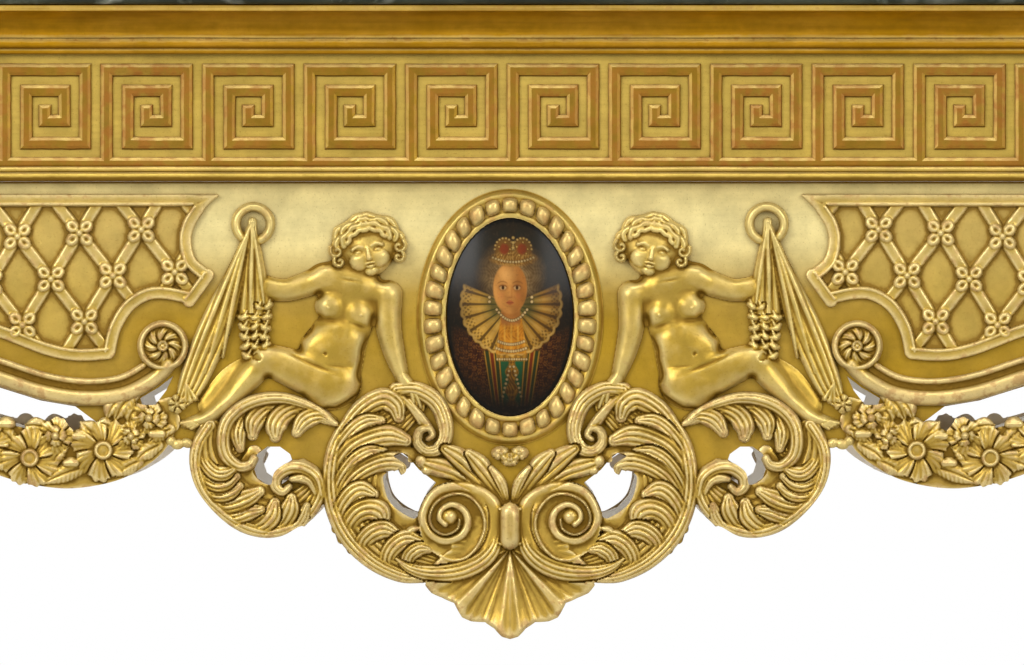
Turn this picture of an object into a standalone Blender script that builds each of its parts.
"""Giltwood centre table: marble top, Greek key frieze, pierced and carved aprons, cabriole legs.

Metres, +Z up, floor at z = 0, the long front towards -Y. Each of the four sides is drawn in a side
frame (x along the side, y inwards from the frieze face, z up from the top edge of the apron), and
each leg in a corner frame; empties set those frames round the table. Lists of points on the carving
are in millimetres in the side frame and go through mm().
"""

import math

import bmesh
import bpy
import numpy as np
from mathutils import Matrix, Vector

# Overall sizes
TABLE_HEIGHT = 0.850
TOP_THICKNESS = 0.025
TOP_OVERHANG = 0.006
TOP_EDGE_ROUND = 0.008
KEY_PITCH = 0.0508
KEYS_LONG = 20
KEYS_SHORT = 12
CORNER_MARGIN = 0.010
FIT = 0.0003

# Frieze, from the apron's top edge upwards
BEAD_HEIGHT = 0.006
BEAD_PROJECTION = 0.006
BASE_STRIP = 0.0049
BAND_WIDTH = 0.0066
BAND_RELIEF = 0.003
FRET_HEIGHT = 0.0518
FRET_SHIFT = 0.0016
FRET_END = 0.004
FRIEZE_FLAT = 0.0054
CORNICE_HEIGHT = 0.0245
CORNICE_PROJECTION = 0.024
CORNICE_FILLET = 0.0032
CORNICE_TORUS = 0.0026
CORNICE_STEP = 0.0027
RAIL_THICKNESS = 0.024

# Joinery
LEG_BLOCK = 0.060
BLOCK_DROP = 0.108
TENON_THICKNESS = 0.010
TENON_LENGTH = 0.024
TENON_SHOULDER = 0.012
APRON_TENON_LENGTH = 0.012
APRON_TENON_DROP = 0.045
BRACE_REACH = 0.152
BRACE_THICKNESS = 0.022
BRACE_HEIGHT = 0.040
BEARER_SPACING = 0.400
BEARER_WIDTH = 0.070
BEARER_HEIGHT = 0.035
BEARER_HOUSING = 0.006

# Aprons
APRON_SETBACK = 0.004
APRON_THICKNESS = 0.022
GARLAND_HALF = 0.0135
GARLAND_BOARD = 0.009
BOW_X = 0.330
SWAG_SAG = 0.036
OPENING_START = 0.200
OPENING_END = 0.026
EDGE_RADIUS = 0.0055
ROSETTE_RADIUS = 0.0135
TRELLIS_PITCH = 0.031
TRELLIS_ROW = 0.0217
TRELLIS_START = 0.1835
TRELLIS_TOP = 0.0247
STRAP_WIDTH = 0.0068
POCKET_DEPTH = 0.0025
PANEL_TOP = 0.013
PANEL_END = 0.024
PANEL_EDGE_BAND = 0.026

# Carving
OVAL_HALF_WIDTH = 0.0445
OVAL_HALF_HEIGHT = 0.0631
OVAL_DROP = 0.068
FRAME_WIDTH = 0.0125
FRAME_RELIEF = 0.009
BEAD_COUNT = 34
DOME_RELIEF = 0.0075
SCROLL_RELIEF = 0.55
FIGURE_RELIEF = 0.62
CARVING_VOXEL = 0.0022
OUTER_SCROLL = (0.1255, -0.1445)
OUTER_SCROLL_RADIUS = 0.035
OUTER_BOARD_INSET = 0.0055
OUTER_HOLE = (0.1182, -0.1422)
OUTER_HOLE_RADIUS = 0.0102
INNER_SCROLL = (0.044, -0.1545)
INNER_SCROLL_RADIUS = 0.0455
INNER_BOARD_INSET = 0.0028
VOLUTE = (0.0275, -0.170)
VOLUTE_RADIUS = 0.0185
SHELL_CENTRE_DROP = 0.150
SHELL_REACH = 0.0755
SHELL_BOARD_INSET = 0.0055

# Leg sweep: (diagonal distance from the block's axis, share of the height below the block, half section)
LEG_PATH = (
    (0.010, 1.09, 0.0260),
    (0.020, 1.00, 0.0345),
    (0.033, 0.90, 0.0360),
    (0.032, 0.77, 0.0315),
    (0.021, 0.60, 0.0255),
    (0.007, 0.42, 0.0210),
    (-0.001, 0.27, 0.0185),
    (0.001, 0.16, 0.0180),
    (0.013, 0.085, 0.0190),
    (0.030, 0.042, 0.0195),
)
LEG_STEPS = 2
LEG_CHAMFER = 0.72
TOE_X = 0.036
TOE_RADIUS = 0.021
TOE_WIDTH = 0.046
PAD_SIZE = 0.058
PAD_HEIGHT = 0.012

# Worked out from the sizes above
MM = 0.001
KEY_MODULE = KEY_PITCH / 5
FRET_LOW = BEAD_HEIGHT + FIT
FRET_HIGH = FRET_LOW + FRET_HEIGHT
FRIEZE_HEIGHT = FRET_HIGH + FRIEZE_FLAT + CORNICE_HEIGHT
HALF_LONG = KEYS_LONG * KEY_PITCH / 2 + CORNER_MARGIN
HALF_SHORT = KEYS_SHORT * KEY_PITCH / 2 + CORNER_MARGIN
JOINT_Z = TABLE_HEIGHT - TOP_THICKNESS - FIT - FRIEZE_HEIGHT
BLOCK_LOW = JOINT_Z - BLOCK_DROP
SIDES = {
    "front": (0, HALF_LONG, HALF_SHORT),
    "right": (90, HALF_SHORT, HALF_LONG),
    "back": (180, HALF_LONG, HALF_SHORT),
    "left": (270, HALF_SHORT, HALF_LONG),
}
CORNERS = {
    "front_right": (0, 1, -1),
    "back_right": (90, 1, 1),
    "back_left": (180, -1, 1),
    "front_left": (270, -1, -1),
}


def mm(points):
    """Points in millimetres as metres."""
    return [tuple(value * MM for value in point) for point in points]


def clear_scene():
    for obj in list(bpy.data.objects):
        bpy.data.objects.remove(obj)


def collection(name):
    made = bpy.data.collections.new(name)
    bpy.context.scene.collection.children.link(made)
    return made


def material(name, colour, roughness, metallic):
    made = bpy.data.materials.new(name)
    made.use_nodes = True
    shader = made.node_tree.nodes["Principled BSDF"]
    shader.inputs["Base Color"].default_value = (*colour, 1)
    shader.inputs["Roughness"].default_value = roughness
    shader.inputs["Metallic"].default_value = metallic
    return made


clear_scene()
TABLE = collection("centre_table")
CUTTERS = collection("cutters")
GILT = material("gilt_wood", (0.72, 0.48, 0.14), 0.38, 0.9)
PINE = material("bare_pine", (0.46, 0.32, 0.18), 0.75, 0.0)
MARBLE = material("green_marble", (0.16, 0.22, 0.19), 0.2, 0.0)
LACQUER = material("painted_lacquer", (0.035, 0.028, 0.022), 0.15, 0.0)


def frame_empty(name, location, degrees):
    made = bpy.data.objects.new(name, None)
    made.location = location
    made.rotation_euler = (0, 0, math.radians(degrees))
    TABLE.objects.link(made)
    return made


SIDE_FRAMES = {
    side: frame_empty(
        f"side_{side}", Matrix.Rotation(math.radians(turn), 3, "Z") @ Vector((0, -reach, JOINT_Z)), turn
    )
    for side, (turn, _, reach) in SIDES.items()
}
CORNER_FRAMES = {
    corner: frame_empty(
        f"corner_{corner}",
        (sx * (HALF_LONG - LEG_BLOCK / 2), sy * (HALF_SHORT - LEG_BLOCK / 2), 0),
        turn,
    )
    for corner, (turn, sx, sy) in CORNERS.items()
}


# Meshes and modelling helpers


def add_object(name, mesh, look, parent=None):
    made = bpy.data.objects.new(name, mesh)
    mesh.materials.clear()
    mesh.materials.append(look)
    TABLE.objects.link(made)
    made.parent = parent
    return made


def add_cutter(name, mesh):
    made = bpy.data.objects.new(name, mesh)
    made.hide_render = True
    made.display_type = "WIRE"
    CUTTERS.objects.link(made)
    return made


def box_mesh(name, low, high):
    low, high = Vector(low), Vector(high)
    mesh = bpy.data.meshes.new(name)
    bm = bmesh.new()
    place = Matrix.Translation((low + high) / 2) @ Matrix.Diagonal((*(high - low), 1))
    bmesh.ops.create_cube(bm, size=1, matrix=place)
    bm.to_mesh(mesh)
    bm.free()
    return mesh


def joined_mesh(name, meshes):
    """One mesh that holds the bodies of several."""
    bm = bmesh.new()
    for mesh in meshes:
        bm.from_mesh(mesh)
    made = bpy.data.meshes.new(name)
    bm.to_mesh(made)
    bm.free()
    return made


def evaluated_mesh(obj):
    """The object's mesh with its modifiers applied and a curve's caps welded; the object is removed."""
    bpy.context.view_layer.update()
    graph = bpy.context.evaluated_depsgraph_get()
    mesh = bpy.data.meshes.new_from_object(obj.evaluated_get(graph))
    mesh.transform(obj.matrix_world)
    bpy.data.objects.remove(obj)
    bm = bmesh.new()
    bm.from_mesh(mesh)
    bmesh.ops.remove_doubles(bm, verts=bm.verts, dist=1e-6)
    bmesh.ops.recalc_face_normals(bm, faces=bm.faces)
    bm.to_mesh(mesh)
    bm.free()
    return mesh


def combine(mesh, cutter_mesh, operation, solver="EXACT"):
    """A Boolean of two meshes, as a new mesh."""
    work = add_cutter("work", mesh)
    cutter = add_cutter("cutter", cutter_mesh)
    modifier = work.modifiers.new("cut", "BOOLEAN")
    modifier.operation = operation
    modifier.solver = solver
    modifier.object = cutter
    made = evaluated_mesh(work)
    bpy.data.objects.remove(cutter)
    return made


def poly_curve(name, loops, dimensions):
    curve = bpy.data.curves.new(name, "CURVE")
    curve.dimensions = dimensions
    for points, closed in loops:
        spline = curve.splines.new("POLY")
        spline.points.add(len(points) - 1)
        for spot, point in zip(spline.points, points):
            spot.co = (*point, 1) if len(point) == 3 else (*point, 0, 1)
        spline.use_cyclic_u = closed
    return curve


def outline_mesh(name, loops, front, back):
    """A flat outline with holes in the side frame's XZ plane, from y = front to y = back."""
    curve = poly_curve(name, [(loop, True) for loop in loops], "2D")
    curve.fill_mode = "BOTH"
    curve.extrude = (back - front) / 2
    obj = add_cutter(name, curve)
    obj.rotation_euler = (math.pi / 2, 0, 0)
    obj.location = (0, (front + back) / 2, 0)
    return evaluated_mesh(obj)


def tube_mesh(points, radii, resolution=1, closed=False):
    """A round bar along points, with a radius at each."""
    curve = poly_curve("tube", [(points, closed)], "3D")
    curve.bevel_depth = 1
    curve.bevel_resolution = resolution
    curve.use_fill_caps = not closed
    for spot, radius in zip(curve.splines[0].points, radii):
        spot.radius = radius
    return evaluated_mesh(add_cutter("tube", curve))


def ellipsoid_mesh(centre, radii, segments=16):
    mesh = bpy.data.meshes.new("ellipsoid")
    bm = bmesh.new()
    place = Matrix.Translation(centre) @ Matrix.Diagonal((*radii, 1))
    bmesh.ops.create_uvsphere(bm, u_segments=segments, v_segments=segments // 2, radius=1, matrix=place)
    bm.to_mesh(mesh)
    bm.free()
    return mesh


def mirrored_mesh(mesh):
    """A left-hand copy of a right-hand mesh."""
    made = mesh.copy()
    made.transform(Matrix.Diagonal((-1, 1, 1, 1)))
    made.flip_normals()
    return made


def flat_backed(mesh, back):
    """What lies in front of the plane y = back, closed there by a flat face."""
    reach = TABLE_HEIGHT + HALF_LONG
    behind = box_mesh("behind", (-reach, back, -reach), (reach, reach, reach))
    return combine(mesh, behind, "DIFFERENCE", "MANIFOLD")


def carved_mesh(bodies, relief, keep, back):
    """Overlapping bodies flattened towards the ground, fused to one skin, thinned and cut flat behind."""
    work = add_cutter("carving", joined_mesh("carving", bodies))
    work.data.transform(Matrix.Diagonal((1, relief, 1, 1)))
    fuse = work.modifiers.new("fuse", "REMESH")
    fuse.mode = "VOXEL"
    fuse.voxel_size = CARVING_VOXEL
    thin = work.modifiers.new("thin", "DECIMATE")
    thin.ratio = keep
    mesh = evaluated_mesh(work)
    mesh.transform(Matrix.Translation((0, back, 0)))
    return flat_backed(mesh, back)


def arc(centre, radius, start, end, count):
    """Points on an arc, angles in degrees."""
    turns = (math.radians(start + (end - start) * step / count) for step in range(count + 1))
    return [(centre[0] + radius * math.cos(turn), centre[1] + radius * math.sin(turn)) for turn in turns]


def through(points, steps):
    """A smooth line through the points, with any number of values at each."""
    padded = [points[0], *points, points[-1]]
    made = []
    for a, b, c, d in zip(padded, padded[1:], padded[2:], padded[3:]):
        for step in range(steps):
            t = step / steps
            before, near = t * (t * (2 - t) - 1), t * t * (3 * t - 5) + 2
            far, after = t * (t * (4 - 3 * t) + 1), t * t * (t - 1)
            made.append(tuple(np.dot((before, near, far, after), values) / 2 for values in zip(a, b, c, d)))
    made.append(tuple(points[-1]))
    return made


def graph(points):
    """A smooth function z(x) through points that run from left to right."""
    xs, zs = (np.array(values, float) for values in zip(*points))
    slopes = np.gradient(zs, xs)

    def value(x):
        index = int(np.clip(np.searchsorted(xs, x) - 1, 0, len(xs) - 2))
        step = xs[index + 1] - xs[index]
        t = (x - xs[index]) / step
        return float(
            (2 * t**3 - 3 * t**2 + 1) * zs[index]
            + (t**3 - 2 * t**2 + t) * step * slopes[index]
            + (3 * t**2 - 2 * t**3) * zs[index + 1]
            + (t**3 - t**2) * step * slopes[index + 1]
        )

    return value


def spread(low, high, count):
    return [low + (high - low) * step / count for step in range(count + 1)]


def mirrored(points):
    """The points and their mirror images, as one loop that starts and ends on the left."""
    return [*points, *((-x, z) for x, z in reversed(points) if abs(x) > 1e-9)]


def flipped(points):
    return [(-point[0], *point[1:]) for point in points]


# The lower edge and the swags of an apron


def leg_face(half):
    """Half the clear length between the leg blocks of a side."""
    return half - LEG_BLOCK - FIT


def edge_line(half):
    """The lower edge of the panel's moulding, from the rosette out to the leg."""
    face = leg_face(half)
    inner = mm([(176, -102), (184, -107), (196, -111)])
    if face > BOW_X:
        inner += mm([(215, -112.2), (236, -108.8), (257, -102), (292, -92)])
        inner += [(BOW_X, -0.083), ((BOW_X + face) / 2, -0.075), (face, -0.080)]
    else:
        inner += [((inner[-1][0] + face) / 2, -0.1075), (face, -0.097)]
    return graph(inner)


def swag_lines(half):
    """The middles of the two swags of one wing: from the scrolls to the bow, and on to the leg."""
    face, edge = leg_face(half), edge_line(half)
    hang = GARLAND_HALF + 2 * FIT
    bow = (BOW_X, edge(BOW_X) - hang)
    leg = (face, edge(face) - hang)
    inner = mm([(170, -117), (180, -125), (196, -133), (222, -137.7), (257, -131.5), (292, -117)])
    low = ((BOW_X + face) / 2, (bow[1] + leg[1]) / 2 - SWAG_SAG)
    quarters = [((end[0] + low[0]) / 2, end[1] * 0.3 + low[1] * 0.7) for end in (bow, leg)]
    return graph([*inner, bow]), graph([bow, quarters[0], low, quarters[1], leg])


def shell_rim(count, inset):
    """The scalloped rim of the shell, moved in by inset, from its right end to the bottom."""
    made = []
    for angle in spread(38.5, 0, count):
        reach = SHELL_REACH - inset - 0.22 * MM * angle
        reach += 2.8 * MM * math.cos(math.radians(angle * 360 / 17.5))
        turn = math.radians(angle)
        made.append((reach * math.sin(turn), -SHELL_CENTRE_DROP - reach * math.cos(turn)))
    return made


def crescent(edge, swag, low, high, count):
    """The opening between the moulding and a swag."""
    xs = spread(low, high, count)
    above = [(x, edge(x) - FIT) for x in xs[1:-1]]
    below = [(x, swag(x) + GARLAND_BOARD) for x in reversed(xs)]
    return [*above, *below]


def apron_loops(half, swags):
    """The outline of an apron board and its openings."""
    face, edge = leg_face(half), edge_line(half)
    right = [(face, 0.0)]
    openings = []
    if swags:
        inner, outer = swag_lines(half)
        right += [(x, outer(x) - GARLAND_BOARD) for x in spread(face, BOW_X, 9)]
        right += [(x, inner(x) - GARLAND_BOARD) for x in spread(BOW_X, 0.172, 9)[1:]]
        openings.append(crescent(edge, inner, OPENING_START, BOW_X - OPENING_END, 6))
        openings.append(crescent(edge, outer, BOW_X + OPENING_END, face - OPENING_END, 6))
        gap = [(168.5, -97.2), (176, -103), (185, -108.3), (184, -111.6), (177.5, -111.6), (172, -104.5)]
        openings.append(mm(gap))
    else:
        right += [(x, edge(x)) for x in spread(face, 0.176, 8)]
        right.append((OUTER_SCROLL[0] + OUTER_SCROLL_RADIUS, -0.113))
    right += arc(OUTER_SCROLL, OUTER_SCROLL_RADIUS - OUTER_BOARD_INSET, 20 if swags else 35, -158, 10)
    right += arc(INNER_SCROLL, INNER_SCROLL_RADIUS - INNER_BOARD_INSET, -6, -86, 7)
    right += shell_rim(11, SHELL_BOARD_INSET)
    openings.append(arc(OUTER_HOLE, OUTER_HOLE_RADIUS, 0, 324, 9))
    lobed = [(37, -150.5), (45.5, -144), (50, -138.6), (54, -135.5), (59.5, -138), (64, -146)]
    openings.append(mm([*lobed, (64.5, -151), (61.5, -160), (56, -166), (46.5, -169.5), (43, -158)]))
    return [mirrored(right), *openings, *(flipped(loop) for loop in openings)]


def panel_loop(half):
    """The ground of the trellis panel, inside its border."""
    face, edge = leg_face(half), edge_line(half)
    end = face - PANEL_END
    lower = [(x, edge(x) + PANEL_EDGE_BAND) for x in spread(end, 0.200, 6)]
    inner = mm([(197, -73), (190, -64), (179, -59), (171, -56), (178, -40), (180, -27)])
    return [(0.176, -PANEL_TOP), (end, -PANEL_TOP), *lower, *inner]


def trellis_pockets(half):
    """The sunk diamonds between the straps of one trellis panel."""
    face, edge = leg_face(half), edge_line(half)
    wide, tall = TRELLIS_PITCH / 2, TRELLIS_ROW
    ground = wide * tall / math.hypot(wide, tall)
    share = (ground - STRAP_WIDTH / 2) / ground
    front, back = APRON_SETBACK - POCKET_DEPTH, APRON_SETBACK + POCKET_DEPTH
    diamonds = []
    for row in range(3):
        z = -TRELLIS_TOP - TRELLIS_ROW * row
        x = TRELLIS_START + (0 if row % 2 else wide)
        while x < face - PANEL_END:
            if z > edge(x) + PANEL_EDGE_BAND:
                across, up = wide * share, tall * share
                diamonds.append([(x + across, z), (x, z + up), (x - across, z), (x, z - up)])
            x += TRELLIS_PITCH
    pockets = outline_mesh("pockets", diamonds, front, back)
    panel = outline_mesh("panel", [panel_loop(half)], front - POCKET_DEPTH, back + POCKET_DEPTH)
    return combine(pockets, panel, "INTERSECT")


# Frame of the table


def make_top():
    half_x = HALF_LONG + CORNICE_PROJECTION + TOP_OVERHANG
    half_y = HALF_SHORT + CORNICE_PROJECTION + TOP_OVERHANG
    low = (-half_x, -half_y, TABLE_HEIGHT - TOP_THICKNESS)
    top = add_object("marble_top", box_mesh("marble_top", low, (half_x, half_y, TABLE_HEIGHT)), MARBLE)
    edge = top.modifiers.new("edge", "BEVEL")
    edge.width = TOP_EDGE_ROUND
    edge.segments = 2


def rail_tenons(face, low, high, length):
    """A tenon at each end of a board, in the side frame."""
    middle = RAIL_THICKNESS / 2
    near, far = middle - TENON_THICKNESS / 2, middle + TENON_THICKNESS / 2
    inside = 0.004
    return [
        box_mesh("tenon", (min(sign * (face - inside), sign * (face + length)), near, low),
                 (max(sign * (face - inside), sign * (face + length)), far, high))
        for sign in (-1, 1)
    ]


def make_rail(side, half):
    """A frieze rail with its tenons and, on the long sides, the housings of the bearers."""
    face = leg_face(half)
    mesh = box_mesh("rail", (-face, 0, 0), (face, RAIL_THICKNESS, FRIEZE_HEIGHT))
    low, high = TENON_SHOULDER, FRIEZE_HEIGHT - TENON_SHOULDER
    for tenon in rail_tenons(face, low, high, TENON_LENGTH):
        mesh = combine(mesh, tenon, "UNION")
    if side in ("front", "back"):
        for sign in (-1, 1):
            centre, width = sign * BEARER_SPACING / 2, BEARER_WIDTH / 2 + FIT
            low_z = FRIEZE_HEIGHT - BEARER_HEIGHT - FIT
            housing = box_mesh("housing", (centre - width, RAIL_THICKNESS - BEARER_HOUSING, low_z),
                               (centre + width, RAIL_THICKNESS * 2, FRIEZE_HEIGHT * 2))
            mesh = combine(mesh, housing, "DIFFERENCE")
    add_object(f"frieze_rail_{side}", mesh, PINE, SIDE_FRAMES[side])


def mitred_strip(name, profile, half):
    """A moulding of a (projection, height) profile, mitred at 45 degrees at both corners."""
    curve = poly_curve(name, [(profile, True)], "2D")
    curve.fill_mode = "BOTH"
    curve.extrude = half
    mesh = evaluated_mesh(add_cutter(name, curve))
    for vertex in mesh.vertices:
        out, up, along = vertex.co
        vertex.co = (math.copysign(half + out, along), -out - FIT, up)
    bm = bmesh.new()
    bm.from_mesh(mesh)
    bmesh.ops.recalc_face_normals(bm, faces=bm.faces)
    bm.to_mesh(mesh)
    bm.free()
    return mesh


def cornice_profile():
    """Fillet, deep cove, torus and small fillet, from the top down."""
    top, out = FRIEZE_HEIGHT, CORNICE_PROJECTION
    low = top - CORNICE_HEIGHT
    cove_top = top - CORNICE_FILLET
    torus_z = low + CORNICE_STEP + CORNICE_TORUS
    cove_low = torus_z + CORNICE_TORUS
    cove_out, cove_in = out - CORNICE_TORUS / 2, CORNICE_STEP * 3
    wide, tall = cove_out - cove_in, cove_top - cove_low
    cove = [
        (cove_out - wide * math.cos(turn), cove_low + tall * math.sin(turn))
        for turn in spread(math.pi / 2, 0, 6)
    ]
    torus = arc((cove_in - CORNICE_TORUS / 2, torus_z), CORNICE_TORUS, 75, -75, 5)
    step = CORNICE_STEP * 2
    fillets = [(0, low), (0, top), (out, top), (out, cove_top)]
    return [*fillets, *cove, *torus, (step, low + CORNICE_STEP), (step, low)]


def bead_profile():
    """A small bead over a larger one."""
    small = BEAD_HEIGHT * 0.18
    large = BEAD_HEIGHT * 0.30
    return [
        (0, 0), (0, BEAD_HEIGHT),
        *arc((BEAD_PROJECTION * 0.45, BEAD_HEIGHT - small), small, 90, -60, 4),
        *arc((BEAD_PROJECTION - large, large), large, 90, -80, 5),
    ]


def key_turns(x):
    """The line of one key, from the base strip up and inwards in square turns."""
    unit = KEY_MODULE
    base = FRET_LOW + BASE_STRIP
    top = FRET_HIGH - BAND_WIDTH / 2
    turns = ((4, 0), (4, 3.6), (1.04, 3.6), (1.04, 1.04), (2.94, 1.04), (2.94, 2.48), (2, 2.48), (2, 1.65))
    return [(x, base), (x, top), *((x + across * unit, top - down * unit) for across, down in turns)]


def offset_turns(line, distance):
    """A line of square turns moved to its left by distance, with sharp corners."""
    made = []
    for index, (x, z) in enumerate(line):
        before = line[max(index - 1, 0)]
        after = line[min(index + 1, len(line) - 1)]
        normals = []
        for a, b in ((before, (x, z)), ((x, z), after)):
            length = math.hypot(b[0] - a[0], b[1] - a[1])
            if length:
                normals.append((-(b[1] - a[1]) / length, (b[0] - a[0]) / length))
        across, up = (sum(values) for values in zip(*normals))
        made.append((x + across * distance, z + up * distance))
    return made


def make_fret(side, keys):
    """The Greek key fret as one strip: every key grows out of the base strip."""
    half_run = keys * KEY_PITCH / 2
    end, strip = half_run + FRET_END, FRET_LOW + BASE_STRIP
    outline = [(-end, FRET_LOW), (-end, strip)]
    for key in range(keys):
        line = key_turns(-half_run + key * KEY_PITCH + FRET_SHIFT)
        outline += offset_turns(line, BAND_WIDTH / 2)
        outline += offset_turns(line, -BAND_WIDTH / 2)[::-1]
    outline += [(end, strip), (end, FRET_LOW)]
    mesh = outline_mesh("fret", [outline], -BAND_RELIEF - FIT, -FIT)
    add_object(f"key_fret_{side}", mesh, GILT, SIDE_FRAMES[side])


def make_apron(side, half):
    """The pierced apron board with its sunk trellis and a stub tenon at each end."""
    face = leg_face(half)
    long_side = side in ("front", "back")
    back = APRON_SETBACK + APRON_THICKNESS
    loops = [[(x, z - FIT) for x, z in loop] for loop in apron_loops(half, long_side)]
    mesh = outline_mesh("apron", loops, APRON_SETBACK, back)
    for tenon in rail_tenons(face, -APRON_TENON_DROP, -TENON_SHOULDER, APRON_TENON_LENGTH):
        mesh = combine(mesh, tenon, "UNION")
    pockets = trellis_pockets(half)
    mesh = combine(mesh, joined_mesh("pockets", [pockets, mirrored_mesh(pockets)]), "DIFFERENCE")
    add_object(f"apron_{side}", mesh, GILT, SIDE_FRAMES[side])


def leg_sweep():
    """The cabriole shaft: a chamfered square swept down the S line, in the leg's diagonal plane."""
    square = []
    for x, y in ((1, 1), (-1, 1), (-1, -1), (1, -1)):
        ends = [(x, y * LEG_CHAMFER), (x * LEG_CHAMFER, y)]
        square += ends if x == y else ends[::-1]
    section = add_cutter("section", poly_curve("section", [(square, True)], "2D"))
    line = through([(reach, share * BLOCK_LOW, half) for reach, share, half in LEG_PATH], LEG_STEPS)
    curve = poly_curve("leg", [([(reach, height, 0) for reach, height, _ in line], False)], "3D")
    curve.twist_mode = "Z_UP"
    curve.bevel_mode = "OBJECT"
    curve.bevel_object = section
    curve.use_fill_caps = True
    for spot, (_, _, half) in zip(curve.splines[0].points, line):
        spot.radius = half
    mesh = evaluated_mesh(add_cutter("leg", curve))
    bpy.data.objects.remove(section)
    return mesh


def toe_mesh():
    mesh = bpy.data.meshes.new("toe")
    bm = bmesh.new()
    place = Matrix.Translation((TOE_X, PAD_HEIGHT + TOE_RADIUS * 0.85, 0))
    bmesh.ops.create_cone(
        bm, cap_ends=True, segments=12, radius1=TOE_RADIUS, radius2=TOE_RADIUS, depth=TOE_WIDTH, matrix=place
    )
    bm.to_mesh(mesh)
    bm.free()
    return mesh


def make_leg_mesh():
    """Block, shaft, scrolled toe and pad as one piece, with the mortises of two rails and two aprons."""
    half = math.sqrt(0.5)
    diagonal = Matrix(((half, 0, -half, 0), (-half, 0, -half, 0), (0, 1, 0, 0), (0, 0, 0, 1)))
    side = LEG_BLOCK / 2
    mesh = box_mesh("block", (-side, -side, BLOCK_LOW), (side, side, JOINT_Z + FRIEZE_HEIGHT))
    heel, tip = TOE_X - PAD_SIZE * 0.62, TOE_X + PAD_SIZE * 0.38
    pad = box_mesh("pad", (heel, 0, -PAD_SIZE / 2), (tip, PAD_HEIGHT, PAD_SIZE / 2))
    for piece in (leg_sweep(), toe_mesh(), pad):
        piece.transform(diagonal)
        mesh = combine(mesh, piece, "UNION")
    middle = RAIL_THICKNESS / 2
    half_slot = TENON_THICKNESS / 2 + FIT
    slots = (
        (TENON_LENGTH, TENON_SHOULDER, FRIEZE_HEIGHT - TENON_SHOULDER),
        (APRON_TENON_LENGTH, -APRON_TENON_DROP, -TENON_SHOULDER),
    )
    for length, low, high in slots:
        z_low, z_high = JOINT_Z + low - 2 * FIT, JOINT_Z + high + 2 * FIT
        near, far = -side + middle - half_slot, -side + middle + half_slot
        rail_slot = box_mesh("slot", (-side * 2, near, z_low), (-side + length, far, z_high))
        end_slot = box_mesh("slot", (-far, side - length, z_low), (-near, side * 2, z_high))
        for slot in (rail_slot, end_slot):
            mesh = combine(mesh, slot, "DIFFERENCE")
    return mesh


def make_legs():
    mesh = make_leg_mesh()
    for corner, frame in CORNER_FRAMES.items():
        add_object(f"scroll_leg_{corner}", mesh, GILT, frame)


def make_braces():
    """Diagonal corner braces between the rails, behind the leg blocks."""
    inner = RAIL_THICKNESS + FIT
    centre = LEG_BLOCK / 2
    near, far = BRACE_REACH, BRACE_REACH + BRACE_THICKNESS
    outline = [(inner, near - inner), (inner, far - inner), (far - inner, inner), (near - inner, inner)]
    points = [(centre - across, along - centre) for across, along in outline]
    curve = poly_curve("brace", [(points, True)], "2D")
    curve.fill_mode = "BOTH"
    curve.extrude = BRACE_HEIGHT / 2
    obj = add_cutter("brace", curve)
    obj.location = (0, 0, JOINT_Z + BRACE_HEIGHT / 2)
    mesh = evaluated_mesh(obj)
    for corner, frame in CORNER_FRAMES.items():
        add_object(f"corner_brace_{corner}", mesh, PINE, frame)


def make_bearers():
    """Two flat bearers under the marble, housed in the long rails."""
    half = HALF_SHORT - RAIL_THICKNESS + BEARER_HOUSING - FIT
    top = JOINT_Z + FRIEZE_HEIGHT
    for name, sign in (("left", -1), ("right", 1)):
        centre = sign * BEARER_SPACING / 2
        low = (centre - BEARER_WIDTH / 2, -half, top - BEARER_HEIGHT)
        high = (centre + BEARER_WIDTH / 2, half, top)
        add_object(f"top_bearer_{name}", box_mesh("bearer", low, high), PINE)


# Carving on the aprons

GROUND = APRON_SETBACK - FIT


def lifted(points):
    """Points of the side frame's XZ plane as points in space, on the carving's own ground plane."""
    return [(point[0], 0, point[1]) for point in points]


def bar(points, radii):
    """A carved bar through (x, z) points in millimetres, with a radius in millimetres at each."""
    line = through([(*point, radius) for point, radius in zip(mm(points), (r * MM for r in radii))], 3)
    return tube_mesh(lifted(line), [radius for _, _, radius in line])


def ball(x, z, wide, tall, deep):
    return ellipsoid_mesh((x * MM, 0, z * MM), (wide * MM, deep * MM, tall * MM))


def spiral(centre, reach, turns, start, radius, sign):
    """A volute: a bar that winds inwards."""
    count = int(turns * 12)
    line, radii = [], []
    for step in range(count + 1):
        share = step / count
        turn = math.radians(start) + share * turns * 2 * math.pi
        out = reach * (1 - 0.86 * share)
        line.append((sign * (centre[0] + out * math.cos(turn)), centre[1] + out * math.sin(turn)))
        radii.append(radius * (1 - 0.45 * share))
    return tube_mesh(lifted(line), radii)


def ring_bar(centre, reach, start, end, radii, sign):
    """A C-scroll: a bar along an arc, swelling in the middle."""
    line = [(sign * x, z) for x, z in arc(centre, reach, start, end, 14)]
    swell = [radii[0] + (radii[1] - radii[0]) * math.sin(math.pi * step / 14) for step in range(15)]
    return tube_mesh(lifted(line), swell)


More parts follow.
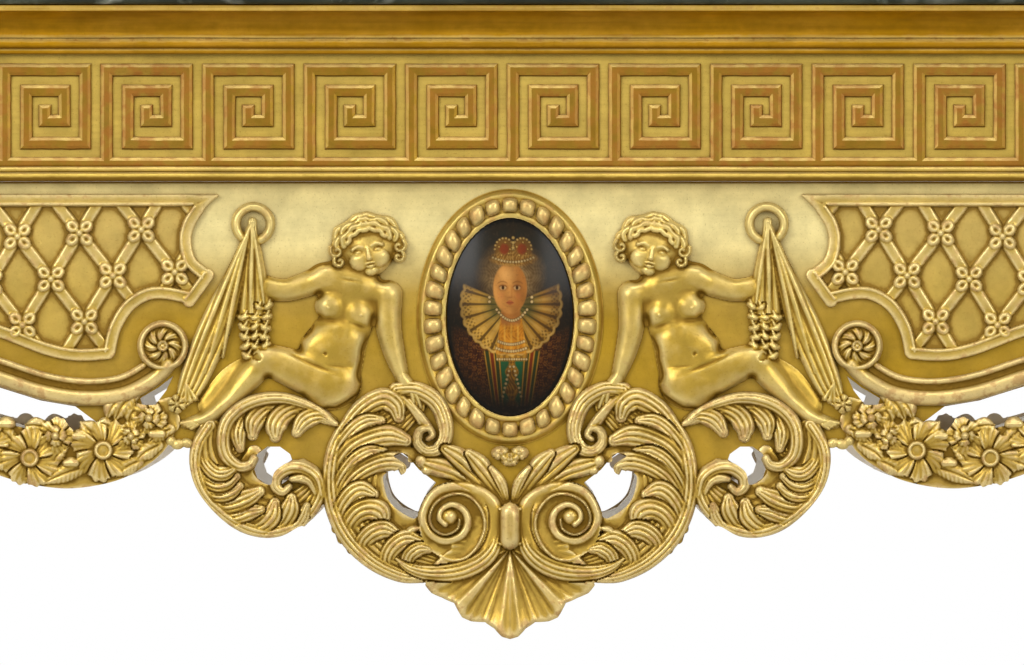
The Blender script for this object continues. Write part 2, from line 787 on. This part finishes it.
def make_scroll_carving():
    """Acanthus C-scrolls, volutes, palmette, boss and shell, carved as one piece."""
    bodies = [ball(0, -172, 7, 12, 12), ball(0, -142, 10, 8, 10)]
    for sign in (-1, 1):
        bodies.append(ring_bar(INNER_SCROLL, INNER_SCROLL_RADIUS - 0.0125, 104, -118, (0.006, 0.012), sign))
        bodies.append(ring_bar(OUTER_SCROLL, OUTER_SCROLL_RADIUS - 0.0105, 168, -172, (0.0055, 0.0095), sign))
        bodies.append(bar([(sign * 84, -137), (sign * 90, -150), (sign * 91, -158)], (7, 7, 5)))
        bodies.append(spiral(VOLUTE, VOLUTE_RADIUS, 1.6, 250, 0.0062, sign))
        for tip_x, tip_z in ((33, -146), (24, -140), (13, -138)):
            leaf = [(3, -160), (tip_x * 0.55, -148), (tip_x, tip_z)]
            bodies.append(bar([(sign * x, z) for x, z in leaf], (4, 5, 3)))
    for angle in (-35, -17.5, 0, 17.5, 35):
        turn = math.radians(angle)
        reach = 66 - 0.18 * abs(angle)
        tip = (reach * math.sin(turn), -SHELL_CENTRE_DROP / MM - reach * math.cos(turn))
        bodies.append(bar([(tip[0] * 0.3, -180), tip], (5, 8)))
    return carved_mesh(bodies, SCROLL_RELIEF, 0.019, GROUND)


def make_figure():
    """The right-hand seated figure with its drapery and the ring that the drapery hangs from."""
    ring = arc((0.1285, -0.0215), 0.0080, 0, 330, 11)
    leg = [(90, -99), (105, -92), (117, -87), (129, -97), (142, -109), (157, -116)]
    bodies = [
        tube_mesh(lifted(ring), [0.0028] * len(ring), closed=True),
        ball(70, -33, 15, 17, 18),
        bar([(73, -46), (77, -56)], (8, 9)),
        ball(78, -63, 19, 15, 16),
        ball(85, -83, 17, 17, 19),
        ball(88, -97, 17, 13, 19),
        bar([(62, -55), (58, -76), (52, -98)], (8, 6, 4.5)),
        bar([(92, -52), (110, -56), (125, -53)], (8, 6.5, 4.5)),
        bar(leg, (12, 11, 9, 7.5, 5, 4)),
        bar([(128, -28), (129, -48), (131, -66), (131, -86)], (5, 7, 8, 7)),
        bar([(131, -31), (141, -52), (153, -86), (162, -112)], (4, 6, 6.5, 5)),
    ]
    mesh = carved_mesh(bodies, FIGURE_RELIEF, 0.034, GROUND)
    for centre, radius in ((OUTER_SCROLL, OUTER_SCROLL_RADIUS), (INNER_SCROLL, INNER_SCROLL_RADIUS)):
        rim = arc(centre, radius + 2 * FIT, 0, 345, 23)
        mesh = combine(mesh, outline_mesh("rim", [rim], -0.05, 0.05), "DIFFERENCE")
    return mesh


def make_garland(half):
    """Two swags of flowers as one bumpy bar from the scrolls to the leg."""
    inner, outer = swag_lines(half)
    face = leg_face(half)
    start = OUTER_SCROLL[0] + OUTER_SCROLL_RADIUS + GARLAND_HALF
    count = 10
    line = [(x, inner(x)) for x in spread(start, BOW_X, count)]
    line += [(x, outer(x)) for x in spread(BOW_X, face - GARLAND_HALF * 0.6, count)[1:]]
    swell = [0.5 + 0.4 * math.sin(math.pi * step / count) ** 2 for step in range(count)] * 2 + [0.5]
    radii = [GARLAND_HALF * (share if step % 2 else share * 1.1) for step, share in enumerate(swell)]
    mesh = tube_mesh(lifted(line), radii)
    mesh.transform(Matrix.Translation((0, GROUND, 0)) @ Matrix.Diagonal((1, 0.8, 1, 1)))
    return flat_backed(mesh, GROUND)


def make_edge(half):
    """The round moulding along the panel's lower edge and the rosette that it ends in."""
    edge, face = edge_line(half), leg_face(half)
    line = [(x, edge(x) + EDGE_RADIUS) for x in spread(0.178, face + EDGE_RADIUS, 9)]
    leg = box_mesh("leg", (face - FIT, -LEG_BLOCK, -LEG_BLOCK * 3), (face + LEG_BLOCK, LEG_BLOCK, LEG_BLOCK))
    moulding = combine(tube_mesh(lifted(line), [EDGE_RADIUS] * len(line)), leg, "DIFFERENCE")
    rosette = ellipsoid_mesh((0.174, 0, -0.082), (ROSETTE_RADIUS, 0.011, ROSETTE_RADIUS), 12)
    mesh = combine(moulding, rosette, "UNION")
    mesh.transform(Matrix.Translation((0, GROUND, 0)))
    return flat_backed(mesh, GROUND)


def make_oval_frame():
    """The oval frame, scalloped round its outer rim with one bulge for every bead."""
    def oval(wide, tall, count, scallop):
        turns = [2 * math.pi * step / count for step in range(count)]
        reach = [1 - scallop * (step % 2) for step in range(count)]
        return [
            (wide * out * math.sin(turn), -OVAL_DROP + tall * out * math.cos(turn))
            for turn, out in zip(turns, reach)
        ]

    outer = oval(OVAL_HALF_WIDTH, OVAL_HALF_HEIGHT, BEAD_COUNT * 2, 0.03)
    inner = oval(OVAL_HALF_WIDTH - FRAME_WIDTH, OVAL_HALF_HEIGHT - FRAME_WIDTH, 24, 0)
    return outline_mesh("oval_frame", [outer, inner], GROUND - FRAME_RELIEF, GROUND)


def make_dome():
    """The domed oval inside the frame."""
    wide = OVAL_HALF_WIDTH - FRAME_WIDTH - 2 * FIT
    tall = OVAL_HALF_HEIGHT - FRAME_WIDTH - 2 * FIT
    mesh = ellipsoid_mesh((0, GROUND, -OVAL_DROP), (wide, DOME_RELIEF, tall), 16)
    return flat_backed(mesh, GROUND)


def make_carving():
    scrolls, frame, dome = make_scroll_carving(), make_oval_frame(), make_dome()
    for side, (_, half, _) in SIDES.items():
        parent = SIDE_FRAMES[side]
        long_side = side in ("front", "back")
        add_object(f"scroll_carving_{side}", scrolls, GILT, parent)
        add_object(f"oval_frame_{side}", frame, GILT, parent)
        name = "portrait_panel" if long_side else "patera"
        add_object(f"{name}_{side}", dome.copy(), LACQUER if long_side else GILT, parent)
    wings = {
        "edge_moulding": {half: make_edge(half) for half in (HALF_LONG, HALF_SHORT)},
        "figure": {HALF_LONG: make_figure()},
        "garland": {HALF_LONG: make_garland(HALF_LONG)},
    }
    for name, meshes in wings.items():
        for hand in ("right", "left"):
            for side, (_, half, _) in SIDES.items():
                if half in meshes:
                    mesh = meshes[half] if hand == "right" else mirrored_mesh(meshes[half])
                    add_object(f"{name}_{side}_{hand}", mesh, GILT, SIDE_FRAMES[side])


def main():
    make_top()
    make_legs()
    make_braces()
    make_bearers()
    for side, (_, half, _) in SIDES.items():
        make_rail(side, half)
        make_fret(side, KEYS_LONG if side in ("front", "back") else KEYS_SHORT)
        make_apron(side, half)
        for name, profile in (("cornice", cornice_profile()), ("base_bead", bead_profile())):
            add_object(f"{name}_{side}", mitred_strip(name, profile, half), GILT, SIDE_FRAMES[side])
    make_carving()


main()
